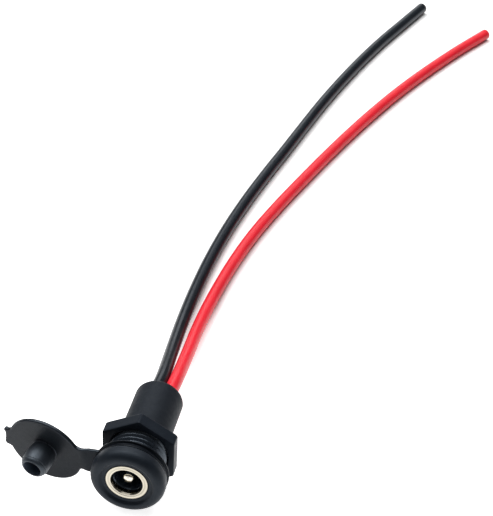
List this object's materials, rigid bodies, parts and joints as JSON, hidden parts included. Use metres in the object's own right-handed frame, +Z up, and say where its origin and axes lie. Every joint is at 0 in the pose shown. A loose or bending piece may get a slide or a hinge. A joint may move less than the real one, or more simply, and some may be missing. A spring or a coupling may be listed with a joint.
{
  "type": "charging port socket",
  "caption": "Round panel-mount socket for a barrel power plug, with a threaded barrel, hex nut, tethered rubber dust cap, rear boot and a red and a black flying lead.",
  "frame": {"origin": "on the barrel axis, in the plane of the panel's front face, where the rubber ring behind the flange seats", "axes": "+Y back along the barrel towards the leads, +Z up, +X to the right when the plug's mouth is seen from the front"},
  "size_m": [0.0735, 0.2098, 0.0158],
  "materials": {
    "body_plastic": "satin",
    "nut_plastic": "satin",
    "boot_plastic": "matte",
    "cap_rubber": "matte",
    "plated_metal": "polished nickel",
    "brass": "plain",
    "solder": "bright",
    "copper": "bright",
    "red_insulation": "satin",
    "black_insulation": "satin"
  },
  "bodies": {
    "socket": {"socket_housing": "body_plastic", "front_ring": "plated_metal", "center_pin": "plated_metal", "pin_terminal": "brass", "sleeve_contact": "brass", "positive_solder": "solder", "negative_solder": "solder", "red_core": "copper", "black_core": "copper", "red_lead": "red_insulation", "black_lead": "black_insulation", "rear_boot": "boot_plastic", "tether_ring": "cap_rubber"},
    "nut": {"panel_nut": "nut_plastic"},
    "strap": {"cap_strap": "cap_rubber"},
    "cap": {"dust_cap": "cap_rubber"}
  },
  "joints": [
    {"name": "strap_fold", "type": "hinge", "parent": "socket", "child": "strap", "pos_m": [-0.00729, -0.00105, 0], "axis": [0.015, -0.0609, 0.998], "range_deg": [0, 95.5], "stiffness_Nm_per_rad": 0.0003},
    {"name": "cap_fold", "type": "hinge", "parent": "strap", "child": "cap", "pos_m": [-0.01001, -0.00105, 0], "axis": [0.015, -0.0609, 0.998], "range_deg": [0, 95.5], "stiffness_Nm_per_rad": 0.0003},
    {"name": "nut_travel", "type": "slide", "parent": "socket", "child": "nut", "axis": [0, 1, 0], "range_m": [-0.0039, 0.001]}
  ],
  "couplings": [
    {"joint": "cap_fold", "follows": "strap_fold", "ratio": 1}
  ]
}
